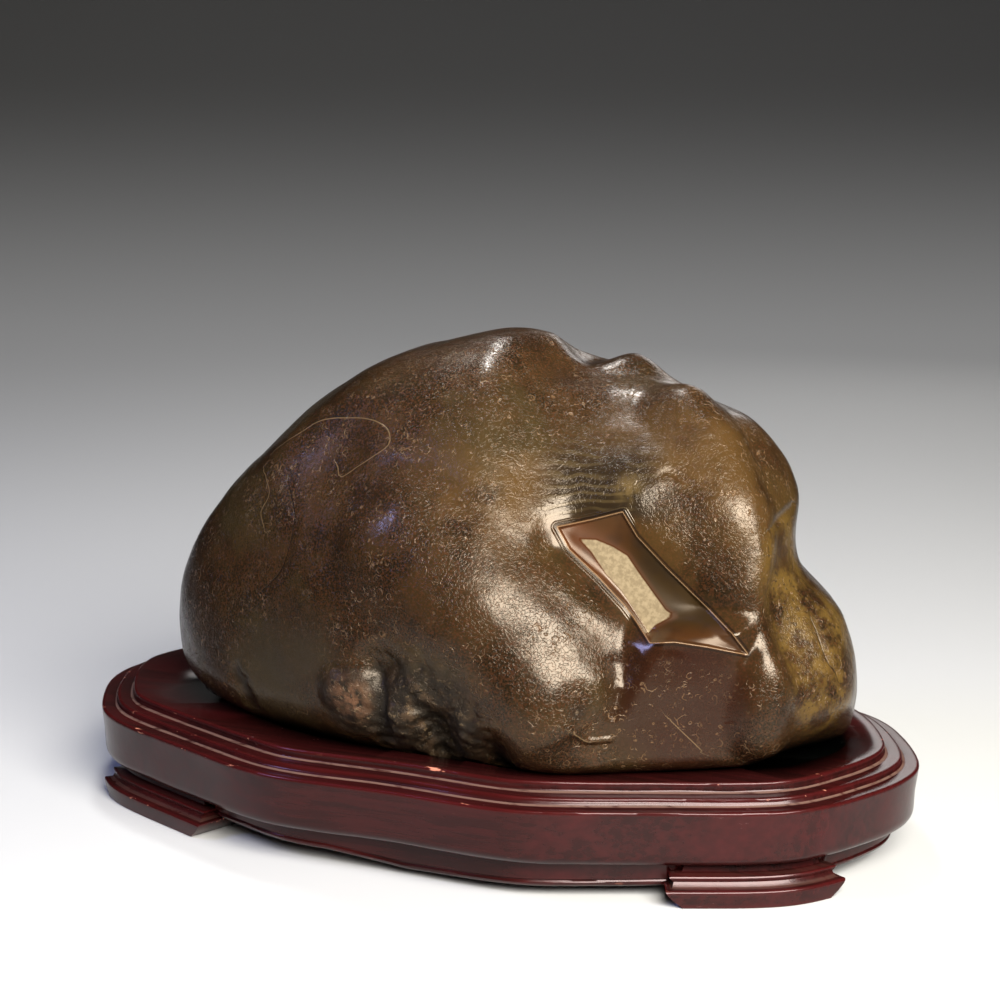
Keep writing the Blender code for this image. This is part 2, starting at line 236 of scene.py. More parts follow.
def draw_onto_panel(points):
    """Draw the skin below the window onto the flat panel, both ways, with eased limits."""
    x, height = points[:, 0], points[:, 2]
    past = x - BELLY_EDGE - BELLY_EDGE_LEAN * (height - BELLY_EDGE_HEIGHT)
    start = PANEL_START[0] - PANEL_EASE * (1 - ease(height, *PANEL_EASE_HEIGHTS))
    facing = np.array(PANEL_FACING) / np.linalg.norm(PANEL_FACING)
    beyond = (points - np.array(PANEL_PLACE)) @ facing
    share = ease(past, start, PANEL_START[1])
    share = share * (1 - ease(x, *PANEL_END)) * (1 - ease(height, *PANEL_TOP))
    share *= np.where(beyond > 0, 1, ease(height, *PANEL_FOOT)) * (points[:, 1] < 0)
    return points - facing * (beyond * share)[:, None]


def form_stone(directions):
    """The stone's form, as the solid has it, for unit directions from its heart."""
    points = boulder(directions)
    for place, facing, softness in BROAD_FACES:
        points = flatten(points, place, facing, softness)
    for place, reach, lift in MOUNDS:
        points = swell(points, place, reach, lift)
    for path, reach, depth in CHANNELS:
        points = crease(points, path, reach, depth)
    return draw_onto_panel(points)


# ---- Stone: its fine relief, which only the dressed stone has ----
# Crevices and troughs of the worn hollows, low on the left of the front: (path, reach, depth).
CREVICES = (
    (((-19, -109, 101), (-15, -109, 105), (-8, -110, 105), (-1, -111, 103), (4, -112, 97)),
     2.6, 1.6),
    (((13, -113, 103), (22, -113, 102), (32, -112, 103)), 3.5, 1.8),
    (((-14, -109, 97), (-11, -111, 84), (-12, -108, 68), (-14, -104, 56)), 8, 3.2),
    (((10, -111, 84), (15, -105, 72), (17, -100, 58)), 8, 3.2),
    (((42, -111, 88), (50, -109, 81), (51, -105, 70), (49, -99, 56)), 10, 4.0),
    (((25, -113, 99), (30, -112, 95), (32, -112, 88), (29, -112, 83)), 3.5, 1.4),
    (((43, -111, 87), (54, -109, 87)), 4, 2.5),
    (((-102, -89, 81), (-97, -90, 75), (-94, -89, 64)), 7, 2.0),
)
# Lumps between them: (place, reach, lift).
LUMPS = (
    ((-26, -110, 88), 14, 2.0),
    ((-26, -109, 74), 11, 1.2),
    ((1, -107, 74), 13, 2.4),
    ((34, -106, 73), 13, 2.2),
    ((4, -112, 90), 14, 1.2),
)
HOLLOWS = ((12, -106, 76), 58)
HOLLOW_ROUGHNESS = ((11, 2.2), (5, 1.5))
WAVE_SHIFT = (13.7, 5.1, 2.3)
RAGGED_SIZE, RAGGED_SHIFT, RAGGED_SEED = 5.5, 3.0, 4
# The chip under the main highlight: its bed, and the curled lip and crease that bound it.
CHIP_BED = ((85, -98, 86), 14, -2.0)
CHIP_LIP = (
    ((79, -116, 85), (83, -113, 83), (88, -109, 79), (92, -104, 75), (101, -98, 75)), 2.6, -1.3)
CHIP_CREASE = (((108, -88, 115), (107, -90, 106), (104, -93, 98), (101, -96, 88)), 4, 0.9)
CHIP_DIMPLE = ((104, -87, 108), 12, -1.2)
# The small eye-shaped notch and its curl, high on the right lobe.
EYE_NOTCH = (
    ((109, -56, 193), (112, -53, 194), (118, -53, 191), (124, -53, 188), (129, -50, 190)), 3.0, 0.8)
# A flake line round the right shoulder, a groove, and a crack down the right flank.
FLAKE_LINE = (
    (112, -7, 228), (127, -8, 220), (142, -19, 205), (149, -20, 194), (154, -30, 183),
    (154, -41, 177))
FLANK_GROOVE = ((160, -10, 175), (158, -29, 172), (157, -44, 169))
FLANK_CRACK = ((176, -27, 124), (185, -33, 107), (190, -30, 97))
# The leaf-shaped scoop on the left shoulder, and its bright edge.
LEAF_EDGE = (
    (-94, -57, 189), (-80, -56, 199), (-70, -55, 205), (-56, -58, 209), (-41, -62, 210),
    (-28, -68, 208), (-23, -73, 203), (-24, -76, 199), (-31, -78, 194), (-38, -78, 189),
    (-47, -78, 183), (-52, -72, 188))
# Wandering pale veins and the faint steps of worn flakes on the left.
LEFT_VEIN = ((-97, -63, 180), (-89, -73, 171), (-93, -76, 162), (-88, -81, 154))
LEFT_FLAKE = ((-79, -72, 178), (-70, -84, 165), (-69, -88, 157), (-73, -92, 139), (-85, -91, 126))
STEPS_CUT = (
    (FLANK_GROOVE, 5, 1.6), (FLAKE_LINE, 4, 0.8), (LEFT_FLAKE, 4, 0.5), (FLANK_CRACK, 3, 0.8))
PANEL_SCRATCH = ((124, -85, 85), (138, -77, 69))
SLANT_SCRATCH = ((60, -106, 78), (68, -103, 66), (80, -99, 58))

# Irregular rise and fall of a river-worn skin: (size across, height).
RUMPLES = ((58, 1.6), (24, 0.65), (10, 0.22))
# The rumples die out from this far outside the window to this far.
RUMPLES_END = (-9, -2)
# The window's raised rim: lift, how far outside the outline it lies, and its reach.
WINDOW_RIM = (0.25, 0.5, 0.8)


def curve_between(before, start, end, after, steps):
    """Points from start towards end on a curve that also heeds the points on either side."""
    for t in (step / steps for step in range(steps)):
        yield 0.5 * (2 * start + (end - before) * t
                     + (2 * before - 5 * start + 4 * end - after) * t ** 2
                     + (3 * start - before - 3 * end + after) * t ** 3)


def smooth_path(path, steps=6):
    """The path as a curve through its points."""
    path = [np.array(point, float) for point in path]
    path = [2 * path[0] - path[1]] + path + [2 * path[-1] - path[-2]]
    curve = []
    for four in zip(path, path[1:], path[2:], path[3:]):
        curve += curve_between(*four, steps)
    return curve + [path[-2]]


def uneven(points, waves):
    """Uneven heights over the skin: a sum of smooth waves, each a (size across, height)."""
    total = np.zeros(len(points))
    for size, height in waves:
        shift = Vector((WAVE_SHIFT[0] * size, *WAVE_SHIFT[1:]))
        waved = [noise.noise(Vector(point) / size + shift) for point in points]
        total += height * np.array(waved)
    return total


def ragged(points):
    """The points shifted a little at random, which roughens the outline of a stroke."""
    noise.seed_set(RAGGED_SEED)
    return points + RAGGED_SHIFT * np.array(
        [noise.noise_vector(Vector(point) / RAGGED_SIZE) for point in points])


def sink_window(points, inside, cream):
    """Sink the window to a flat floor under the cream field, with slopes up to the outline."""
    facing = np.cross(WINDOW_ACROSS, WINDOW_UP)
    facing /= np.linalg.norm(facing)
    floor = cream > 0
    height = (points - points[floor].mean(0)) @ facing + WINDOW_DEPTH
    within, outside_cream = np.clip(inside, 0, None), np.clip(-cream, 0, None)
    share = within / np.maximum(within + outside_cream, 0.01)
    step = WINDOW_STEP * ease(inside, 0, WINDOW_EDGE)
    return points - facing * (ease(share, -0.2, 1) * (inside > 0) * height + step)[:, None]


def carve_stone(points):
    """The dressed skin: the window's floor and edge, chips, crevices, lumps and rumples."""
    inside = window_inside(points, WINDOW_OUTLINE)
    points = sink_window(points, inside, window_inside(points, CREAM_OUTLINE))
    rim_lift, rim_place, rim_reach = WINDOW_RIM
    lift = rim_lift * fade(inside + rim_place, rim_reach)
    felt = ragged(points)
    for place, reach, height in LUMPS + (CHIP_BED, CHIP_DIMPLE):
        lift += height * fade(np.linalg.norm(felt - np.array(place), axis=1), reach)
    for path, reach, depth in CREVICES + (CHIP_CREASE,):
        lift -= depth * fade(distance_to_path(felt, smooth_path(path)), reach)
    for path, reach, depth in (CHIP_LIP, EYE_NOTCH) + STEPS_CUT:
        lift -= depth * fade(distance_to_path(points, smooth_path(path)), reach)
    hollow = fade(np.linalg.norm(points - np.array(HOLLOWS[0]), axis=1), HOLLOWS[1])
    near = hollow > 0
    lift[near] += hollow[near] * uneven(points[near], HOLLOW_ROUGHNESS)
    lift += uneven(points, RUMPLES) * (1 - ease(inside, *RUMPLES_END))
    points = points + outward(points) * lift[:, None]
    points[:, 2] = np.maximum(points[:, 2], UNDERSIDE)
    return points


def trace(points, paths, reach):
    """Signed distance across the nearest of some lines, and 1 beside a line but 0 away from all."""
    across = np.full(len(points), float(reach))
    nearest = np.full(len(points), np.inf)
    facing = outward(points)
    for path in paths:
        for start, end in zip(path, path[1:]):
            along = np.array(end, float) - start
            share = (points - start) @ along / (along @ along)
            off = points - start - np.clip(share, 0, 1)[:, None] * along
            away = np.linalg.norm(off, axis=1)
            side = np.sign((np.cross(along, off) * facing).sum(1))
            closer = away < nearest
            nearest = np.where(closer, away, nearest)
            across = np.where(closer, side * away, across)
    return np.clip(across, -reach, reach), 1 - ease(nearest, 0.5 * reach, reach)


# ---- Mesh handling ----
def start_piece(add_primitive, name, **settings):
    """Add a primitive with nothing else selected, and name it."""
    if bpy.context.object and bpy.context.object.mode != "OBJECT":
        bpy.ops.object.mode_set(mode="OBJECT")
    bpy.ops.object.select_all(action="DESELECT")
    add_primitive(**settings)
    piece = bpy.context.object
    piece.name = name
    piece.data.name = name
    return piece


def read_points(mesh):
    flat = np.empty(len(mesh.vertices) * 3, np.float32)
    mesh.vertices.foreach_get("co", flat)
    return flat.reshape(-1, 3).astype(float)


def write_points(mesh, points):
    mesh.vertices.foreach_set("co", points.astype(np.float32).ravel())
    mesh.update()


def store(mesh, name, values):
    """Keep one number for each point, for the material to read."""
    layer = mesh.attributes.get(name) or mesh.attributes.new(name, "FLOAT", "POINT")
    layer.data.foreach_set("value", np.asarray(values, np.float32))


def subdivide_where(piece, wanted):
    """Cut each edge once that has a wanted end."""
    mesh = piece.data
    ends = np.empty(len(mesh.edges) * 2, np.int32)
    mesh.edges.foreach_get("vertices", ends)
    ends = ends.reshape(-1, 2)
    chosen = wanted[ends].any(1)
    bpy.ops.object.mode_set(mode="EDIT")
    bpy.ops.mesh.select_mode(type="EDGE")
    bpy.ops.mesh.select_all(action="DESELECT")
    bpy.ops.object.mode_set(mode="OBJECT")
    mesh.edges.foreach_set("select", chosen)
    bpy.ops.object.mode_set(mode="EDIT")
    bpy.ops.mesh.subdivide(number_cuts=1)
    bpy.ops.mesh.select_all(action="SELECT")
    bpy.ops.mesh.quads_convert_to_tris()
    bpy.ops.object.mode_set(mode="OBJECT")


def unit_directions(mesh):
    points = read_points(mesh)
    return points / np.linalg.norm(points, axis=1)[:, None]


# Where the skin gets smaller faces: (place, reach).
FINE_ZONES = (
    ((10, -108, 82), 66), ((90, -98, 92), 40), ((104, -70, 143), 75), ((120, -52, 192), 22))
# It gets them again in strips along the window's edge: (how far outside it, half width).
FINE_STRIPS = ((0.5, 4), (0, 1.8))
SKIN_FINENESS = 7
MARK_LIMIT = 60
TRACE_REACH = 8
# Crevices this deep or deeper get the full painted shade.
CREVICE_SHADE_DEPTH = 3


def shape_stone():
    """The dressed stone: a fine ball drawn to the stone's form, then carved and marked."""
    stone = start_piece(bpy.ops.mesh.primitive_ico_sphere_add, "river_stone",
                        subdivisions=SKIN_FINENESS, radius=1)
    mesh = stone.data
    points = form_stone(unit_directions(mesh))
    wanted = np.zeros(len(points), bool)
    for place, reach in FINE_ZONES:
        wanted |= np.linalg.norm(points - np.array(place), axis=1) < reach
    subdivide_where(stone, wanted)
    for outside, half_width in FINE_STRIPS:
        inside = window_inside(form_stone(unit_directions(mesh)), WINDOW_OUTLINE)
        subdivide_where(stone, np.abs(inside + outside) < half_width)
    formed = form_stone(unit_directions(mesh))
    write_points(mesh, carve_stone(formed) * MM)
    bpy.ops.object.shade_smooth()
    paint_marks(mesh, formed)
    return stone


def paint_marks(mesh, points):
    """Distances to the outlines and lines that the stone's colours follow."""
    off = points - WINDOW_CENTRE
    for name, outline in (("window", WINDOW_OUTLINE), ("cream", CREAM_OUTLINE)):
        inside = window_inside(points, outline)
        store(mesh, name, np.clip(inside, -MARK_LIMIT, MARK_LIMIT))
    store(mesh, "panel_across", off @ WINDOW_ACROSS)
    store(mesh, "panel_up", off @ WINDOW_UP)
    lines = {
        "leaf": (LEAF_EDGE, CHIP_LIP[0]),
        "crack": (FLAKE_LINE, FLANK_CRACK, LEFT_FLAKE),
        "vein": (LEFT_VEIN, PANEL_SCRATCH, SLANT_SCRATCH),
        "groove": (FLANK_GROOVE,),
    }
    for name, paths in lines.items():
        across, here = trace(points, [smooth_path(path) for path in paths], TRACE_REACH)
        store(mesh, name, across)
        store(mesh, name + "_here", here)
    # Painted shade in the crevices, darker the deeper they are.
    deep = np.zeros(len(points))
    for path, reach, depth in CREVICES:
        share = fade(distance_to_path(points, smooth_path(path)), reach)
        deep = np.maximum(deep, share * min(1, depth / CREVICE_SHADE_DEPTH))
    store(mesh, "crevice_shade", deep)


# ---- Shader maths ----
class Wire:
    """A value in a material. Arithmetic on it adds Math nodes."""

    def __init__(self, paint, socket):
        self.paint = paint
        self.socket = socket

    def other(self, name):
        """Another output of the same node."""
        return Wire(self.paint, self.socket.node.outputs[name])

    def maths(self, operation, *values):
        return self.paint.node("ShaderNodeMath", {"operation": operation}, *values)

    def __add__(self, value):
        return self.maths("ADD", self, value)

    __radd__ = __add__

    def __sub__(self, value):
        return self.maths("SUBTRACT", self, value)

    def __rsub__(self, value):
        return self.maths("SUBTRACT", value, self)

    def __mul__(self, value):
        return self.maths("MULTIPLY", self, value)

    __rmul__ = __mul__

    def __abs__(self):
        return self.maths("ABSOLUTE", self)

    def most(self, value):
        return self.maths("MAXIMUM", self, value)

    def ease(self, low, high):
        """0 below low, 1 above high, smooth between."""
        return self.paint.node("ShaderNodeMapRange", {"interpolation_type": "SMOOTHSTEP"},
                               self, low, high, 0.0, 1.0)

    def band(self, middle, width):
        """1 at the middle, 0 a width away on either side."""
        return 1 - abs(self - middle).ease(0.0, width)


class Paint:
    """A material in the making."""

    def __init__(self, name, **finish):
        self.material = bpy.data.materials.new(name)
        self.material.use_nodes = True
        self.tree = self.material.node_tree
        self.shader = self.tree.nodes["Principled BSDF"]
        for socket, value in finish.items():
            self.feed(self.shader.inputs[socket.replace("_", " ")], value)
        self.place = self.node("ShaderNodeTexCoord").other("Object")

    def feed(self, socket, value):
        if isinstance(value, Wire):
            self.tree.links.new(value.socket, socket)
        elif hasattr(value, "__len__") and len(value) == 3 and len(socket.default_value) == 4:
            socket.default_value = (*value, 1.0)
        else:
            socket.default_value = value

    def node(self, kind, settings=None, *inputs, **named):
        node = self.tree.nodes.new(kind)
        for setting, value in (settings or {}).items():
            setattr(node, setting, value)
        for socket, value in zip(node.inputs, inputs):
            self.feed(socket, value)
        for socket, value in named.items():
            self.feed(node.inputs[socket], value)
        return Wire(self, node.outputs[0])

    def mark(self, name):
        """A number stored on the piece's points."""
        return self.node("ShaderNodeAttribute", {"attribute_name": name}).other("Fac")

    def blend(self, share, under, over):
        node = self.node("ShaderNodeMix", {"data_type": "RGBA"}, share).socket.node
        self.feed(node.inputs[6], under)
        self.feed(node.inputs[7], over)
        return Wire(self, node.outputs[2])

    def vector(self, operation, *values, **named):
        return self.node("ShaderNodeVectorMath", {"operation": operation}, *values, **named)

    def stretched(self, x, y, z):
        """Object coordinates scaled by axis, so that a pattern runs long one way."""
        return self.vector("MULTIPLY", self.place, (x, y, z))

    def cloud(self, scale, detail=2.0, rough=0.5, where=None):
        """A soft uneven pattern, about 0 to 1."""
        return self.node("ShaderNodeTexNoise", {}, Vector=where or self.place, Scale=scale,
                         Detail=detail, Roughness=rough)

    def near(self, *spots):
        """1 at any of some spots and 0 away from all of them: (place, reach), in mm."""
        shares = []
        for place, reach in spots:
            middle = tuple(value * MM for value in place)
            away = self.vector("DISTANCE", self.place, middle).other("Value")
            shares.append(1 - away.ease(0.0, reach * MM))
        return self.most_of(*shares)

    def most_of(self, first, *others):
        for other in others:
            first = first.most(other)
        return first

    def line(self, name, width):
        """1 on a marked line, 0 a width in mm away from it and past its ends."""
        return self.mark(name).band(0.0, width) * self.mark(name + "_here")

    def coats(self, colour, *coats):
        """The colour with others laid over it in turn: (share, the other as it looks on screen)."""
        for share, over in coats:
            colour = self.blend(share, colour, tone(*over))
        return colour

    def bump(self, height, depth):
        return self.node("ShaderNodeBump", {}, Height=height, Distance=depth, Strength=1.0)

    def finish(self, **wires):
        for socket, value in wires.items():
            self.feed(self.shader.inputs[socket.replace("_", " ")], value)
        return self.material


def tone(red, green, blue):
    """A colour given as it looks on screen, 0 to 255, as light values."""
    return tuple(((value / 255 + 0.055) / 1.055) ** 2.4 if value > 10 else value / 3295
                 for value in (red, green, blue))


# ---- Stone finish ----
# Where the skin's colour changes: (place, reach), in mm.
GOLD_SPOTS = (((124, -40, 190), 92), ((40, -85, 185), 60))
PANEL_SPOT = ((128, -80, 92), 52)
# Smooth patches low on the left, paler partly in their own colour, partly as painted sheen.
SMOOTH_SPOTS = (((-74, -96, 92), 46), ((-55, -102, 100), 34))
OCHRE_SPOTS = (((170, -32, 150), 40), ((188, -26, 106), 52))
HOLLOW_SPOTS = (((14, -108, 76), 46), ((-26, -108, 80), 26))
TAN_SPOT = ((-27, -110, 82), 17)
# The chip's dimple, painted with shade and with a glint at its middle.
CHIP_SHADE_AND_GLINT_SPOT = ((88, -109, 90), 6)
RED_SPECK = ((49, -110, 84), 1.6)
BANDS_SPOT = ((90, -60, 190), 85)
LEDGE_SPOT = ((95, -63, 187), 11)
# Widths of the lines that follow a path: how far from its middle a line ends, in mm.
LINE_WIDTHS = {"leaf": 0.5, "vein": 0.4, "crack": 0.6, "groove": 2.2}
# Curled knocks: (cells in a metre, radius of the arc, its width in mm).
KNOCKS = ((260, 1.0, 0.30), (130, 1.9, 0.32), (70, 3.2, 0.34))
KNOCK_WANDER, KNOCK_WANDER_CELLS = 1.6 * MM, 500
HAIR_CELLS, HAIR_WIDTH = 330, 0.018
# The level bands above the window: how many to a mm, and how far they wander.
BANDS_TURN, BANDS_WANDER = 1.3, 16
SKIN_RELIEF = 0.26 * MM
ROUGH_GLASS, ROUGH_WAX, ROUGH_MARGIN, ROUGH_HOLLOW = 0.16, 0.22, 0.36, 0.42


def knocks(paint, cells, radius, width):
    """Curled crescents, as stones knocking in a river leave, one arc in each cell."""
    middle = (0.5, 0.5, 0.5)
    shake = paint.cloud(KNOCK_WANDER_CELLS, 1.0).other("Color")
    shake = paint.vector("SCALE", paint.vector("SUBTRACT", shake, middle), Scale=KNOCK_WANDER)
    shaken = paint.vector("ADD", paint.place, shake)
    cell = paint.node("ShaderNodeTexVoronoi", {}, Vector=shaken, Scale=cells)
    off = paint.vector("SUBTRACT", shaken, cell.other("Position"))
    lean = paint.vector("NORMALIZE", paint.vector("SUBTRACT", cell.other("Color"), middle))
    ring = paint.vector("LENGTH", off).other("Value").band(radius * MM, width * MM)
    side = paint.vector("DOT_PRODUCT", off, lean).other("Value")
    return ring * side.ease(0.1 * radius * MM, 0.5 * radius * MM)


def squiggles(paint, scale, width):
    """Fine hair lines that wander and break off."""
    line = paint.cloud(scale, 1.0).band(0.5, width)
    return line * paint.cloud(scale * 0.6, 1.0).ease(0.5, 0.62)


class SkinMarks:
    """Where each kind of mark lies on the stone, 1 on it and 0 off it."""

    def __init__(self, paint):
        self.window, self.cream = paint.mark("window"), paint.mark("cream")
        self.across, self.up = paint.mark("panel_across"), paint.mark("panel_up")
        self.polished = self.window.ease(-1.2, 0.2)
        self.worn = 1 - self.window.ease(-16, -3)
        self.panel = paint.near(PANEL_SPOT)
        self.smooth = paint.near(*SMOOTH_SPOTS)
        patchy = paint.cloud(30, 2.0).ease(0.34, 0.55) * self.worn * (1 - self.smooth)
        arcs = [knocks(paint, *knock) for knock in KNOCKS]
        self.nicks = paint.most_of(*arcs, squiggles(paint, HAIR_CELLS, HAIR_WIDTH)) * patchy
        lines = {name: paint.line(name, width) for name, width in LINE_WIDTHS.items()}
        self.leaf, self.vein = lines["leaf"], lines["vein"]
        self.crack, self.groove = lines["crack"], lines["groove"]
        self.crevice_shade = paint.mark("crevice_shade")
        self.hollow = paint.near(*HOLLOW_SPOTS)
        self.crumbs = paint.cloud(330, 3.0, 0.7).ease(0.58, 0.66) * self.hollow
        above = self.up.ease(26, 34) * (1 - self.up.ease(50, 76))
        above = above * self.across.ease(-56, -36) * (1 - self.across.ease(-4, 18))
        self.above = above * paint.near(BANDS_SPOT).ease(0.0, 0.4)
        wander = self.up + paint.cloud(38, 2.0) * BANDS_WANDER
        ripple = paint.node("ShaderNodeMath", {"operation": "SINE"}, wander * BANDS_TURN)
        broken = paint.cloud(40, 2.0).ease(0.34, 0.52)
        outside = 1 - self.window.ease(-2.4, -1.6)
        self.bands = ripple.ease(-0.2, 0.9) * self.above * broken * outside
        frame_lines = self.window.band(-1.9, 0.4).most(self.window.band(-3.0, 0.4))
        self.frame_lines = frame_lines * (1 - self.across.ease(-12, 2))


def skin_colour(paint, on):
    """Dark brown with red-brown grains and olive, gold, red and ochre clouds."""
    patches = paint.cloud(42, 4.0, 0.6).ease(0.35, 0.65)
    grains = paint.cloud(900, 3.0, 0.65).ease(0.42, 0.68)
    olive = paint.cloud(16, 3.0, 0.55).ease(0.50, 0.70)
    gold = paint.near(*GOLD_SPOTS) * paint.cloud(36, 4.0, 0.6).ease(0.34, 0.62)
    ochre = paint.near(*OCHRE_SPOTS).ease(0.0, 0.5) * paint.cloud(60, 4.0, 0.65).ease(0.40, 0.60)
    pores = paint.cloud(420, 2.0).ease(0.60, 0.68) * ochre
    return paint.coats(
        tone(23, 16, 7), (patches, (40, 28, 13)), (grains * 0.6, (62, 35, 19)),
        (olive * 0.7, (46, 37, 18)), (gold * 0.8, (66, 47, 22)),
        # The smooth patches: greyish in their own colour, lifted partly as painted sheen.
        (on.panel.ease(0.0, 0.6) * 0.8, (30, 10, 6)), (on.smooth * 0.75, (40, 34, 24)),
        (ochre * 0.85, (80, 61, 27)), (pores * 0.8, (30, 22, 16)))


def mark_colour(paint, on, colour):
    """Pale nicks and veins, dark cracks, and the crumbling hollows low on the left, dark partly in
    their own colour and partly in painted shade, with painted shade in their crevices.
    """
    rubble = paint.cloud(140, 4.0, 0.7).ease(0.46, 0.64) * on.hollow
    tan = paint.near(TAN_SPOT) * paint.cloud(260, 3.0).ease(0.36, 0.60)
    chip = paint.near(CHIP_SHADE_AND_GLINT_SPOT)
    return paint.coats(
        colour, (on.nicks * 0.5, (104, 80, 56)), (on.leaf.most(on.vein) * 0.55, (109, 90, 64)),
        (on.crack * 0.6, (19, 14, 10)), (on.groove * 0.6, (61, 58, 56)),
        # The hollows: dark partly in their own colour, partly in painted shade of the recess.
        (on.hollow.ease(0.0, 0.5) * 0.9, (18, 14, 9)), (rubble * 0.6, (67, 50, 34)),
        (tan * 0.9, (90, 62, 43)), (on.crumbs * 0.6, (101, 83, 59)),
        # Painted shade in the crevices.
        (on.crevice_shade.ease(0.1, 0.9) * 0.85, (16, 13, 9)),
        # The chip's dimple: painted shade, with a painted glint at its middle.
        (chip.ease(0.0, 0.7) * 0.6, (24, 17, 12)), (chip.ease(0.80, 0.95), (96, 80, 62)),
        (paint.near(RED_SPECK), (112, 35, 27)))


def band_colour(paint, on, colour):
    """Thin level bands that the polish shows above the window, and a pale ledge."""
    ledge = paint.near(LEDGE_SPOT) * paint.cloud(150, 2.0).ease(0.4, 0.6)
    return paint.coats(colour, (on.above * 0.85, (26, 20, 12)), (on.bands * 0.3, (78, 64, 38)),
                       (ledge * 0.6, (90, 73, 42)))


def window_colour(paint, on, colour):
    """Brown glassy margin, darker to the right partly in painted shade, amber foot, cream field,
    bright rim, and outside it a dark line of painted shadow under the step.
    """
    top = on.up.ease(16, 30) * on.across.ease(-34, -18)
    glass = paint.coats(
        # Darker towards the right: partly the agate's own brown, partly painted shade of the steep
        # right wall.
        tone(62, 32, 11), (on.across.ease(-30, 8), (35, 23, 6)),
        (on.up.ease(-15, -23), (50, 28, 10)), (top, (52, 32, 14)),
        (paint.cloud(90, 2.0).ease(0.4, 0.7) * 0.4, (24, 16, 10)),
        (on.cream.ease(-3.0, 0.0) * 0.5, (62, 33, 17)))
    grain = paint.cloud(460, 3.0, 0.6).ease(0.35, 0.7)
    field = paint.coats(tone(104, 91, 69), (grain, (124, 110, 85)))
    colour = paint.blend(on.polished, colour, paint.blend(on.cream.ease(-0.2, 0.6), glass, field))
    return paint.coats(colour, (on.window.band(-0.3, 0.34) * 0.7, (128, 101, 72)),
                       # A dark line just outside the rim: painted shadow of the step down into the
                       # window.
                       (on.window.band(-1.4, 0.8) * 0.8, (16, 11, 8)))


def skin_relief(paint, on):
    """Fine pits and nicks that break up the highlights, calmer on the panel and the window."""
    calm = 1 - 0.6 * on.panel.ease(0.0, 0.5)
    pits = paint.cloud(520, 1.0).band(0.5, 0.05).most(paint.cloud(360, 1.0).band(0.46, 0.035))
    grain, swells = paint.cloud(600, 3.0, 0.6), paint.cloud(200, 2.0)
    skin = (pits * on.worn * -0.2 + grain * 0.28 * on.worn + swells * 0.8 * on.worn) * calm
    raised = on.leaf * 0.7 + on.bands * 0.3
    sunk = on.crack * 1.2 + on.groove * 1.2 + on.frame_lines * 0.7
    rubble = on.crumbs * 1.5 + on.hollow * paint.cloud(260, 4.0, 0.7) * 2.5
    return skin - on.nicks * calm + raised - sunk + rubble


def skin_roughness(paint, on):
    margin = on.polished * (1 - on.cream.ease(-1, 0))
    rough = paint.blend(on.worn, (ROUGH_GLASS,) * 3, (ROUGH_WAX,) * 3)
    rough = paint.blend(margin, rough, (ROUGH_MARGIN,) * 3)
    return paint.blend(on.hollow.ease(0.05, 0.4).most(on.crevice_shade), rough, (ROUGH_HOLLOW,) * 3)


def paint_stone():
    paint = Paint("waxed_river_stone", Specular_IOR_Level=0.32, Specular_Tint=(1.0, 0.85, 0.67))
    on = SkinMarks(paint)
    colour = mark_colour(paint, on, skin_colour(paint, on))
    colour = window_colour(paint, on, band_colour(paint, on, colour))
    return paint.finish(Base_Color=colour, Roughness=skin_roughness(paint, on),
                        Normal=paint.bump(skin_relief(paint, on), SKIN_RELIEF))


# ---- Stand ----
BOARD_LOW, BOARD_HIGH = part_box("stand_board")
RIM_HEIGHT = 46.5 * MM
STEPS = ((3.7 * MM, 8.5 * MM), (4.8 * MM, 8.5 * MM))
LOWER_ROUND = 6 * MM
SIDE_TAPER = 1.5 * MM
COVE_RADIUS = 1.8 * MM
TOUCH_GAP = 0.3 * MM
HALF_LENGTH, HALF_DEPTH = BOARD_HIGH.x, BOARD_HIGH.y
RIM_QUARTER = (
    (0, HALF_DEPTH - 2.5 * MM), (50 * MM, HALF_DEPTH), (75 * MM, HALF_DEPTH - 3.5 * MM),
    (128 * MM, 107.5 * MM), (180 * MM, 84 * MM), (198 * MM, 65 * MM), (217 * MM, 30 * MM),
    (HALF_LENGTH, 0))
# The recess lies within this share of the rim's reach from the middle, and the steps outside it.
RECESS_WITHIN = 0.845
RIM_STEPS = 14
RIM_POINTS = 400
RIM_SOFTENING = 32
RECESS_STEPS = 8
STONE_ROOM = 0.6 * MM
# How far down into the recess the painted shade reaches full darkness.
RECESS_SHADE_DEPTH = 2 * MM
# The small wander of a hand-cut edge: how far it strays, and its cells along and between levels.
BOARD_WANDER, APRON_WANDER = 0.5 * MM, 0.4 * MM
WANDER_ALONG, WANDER_UP = 40, 500
# An edge worn round, out from its sharp corner: (inset, height, arris), in mm.
WORN_EDGE = ((0.15, -2.2, 0), (0, -0.9, 1), (0.3, -0.25, 1), (0.9, 0, 1), (2.2, 0, 0))
RECESS_EDGE = (
    (-158, -21), (-145, -44), (-115, -63), (-80, -84), (-45, -94), (5, -97), (62, -95),
    (97, -81), (128, -63), (166, -48), (180, -28), (188, -6), (184, 20), (160, 52),
    (110, 78), (40, 88), (-40, 86), (-105, 68), (-146, 38), (-158, 8))


def smooth_loop(corners, steps):
    """A closed curve through the corners, rounded between them."""
    loop = []
    for index in range(len(corners)):
        four = (Vector(corners[(index + k) % len(corners)]) for k in (-1, 0, 1, 2))
        loop += curve_between(*four, steps)
    return loop


def run_lengths(line):
    """How far along a line of straight runs each of its points lies."""
    return np.concatenate(((0,), np.cumsum(np.linalg.norm(np.diff(line, axis=0), axis=1))))


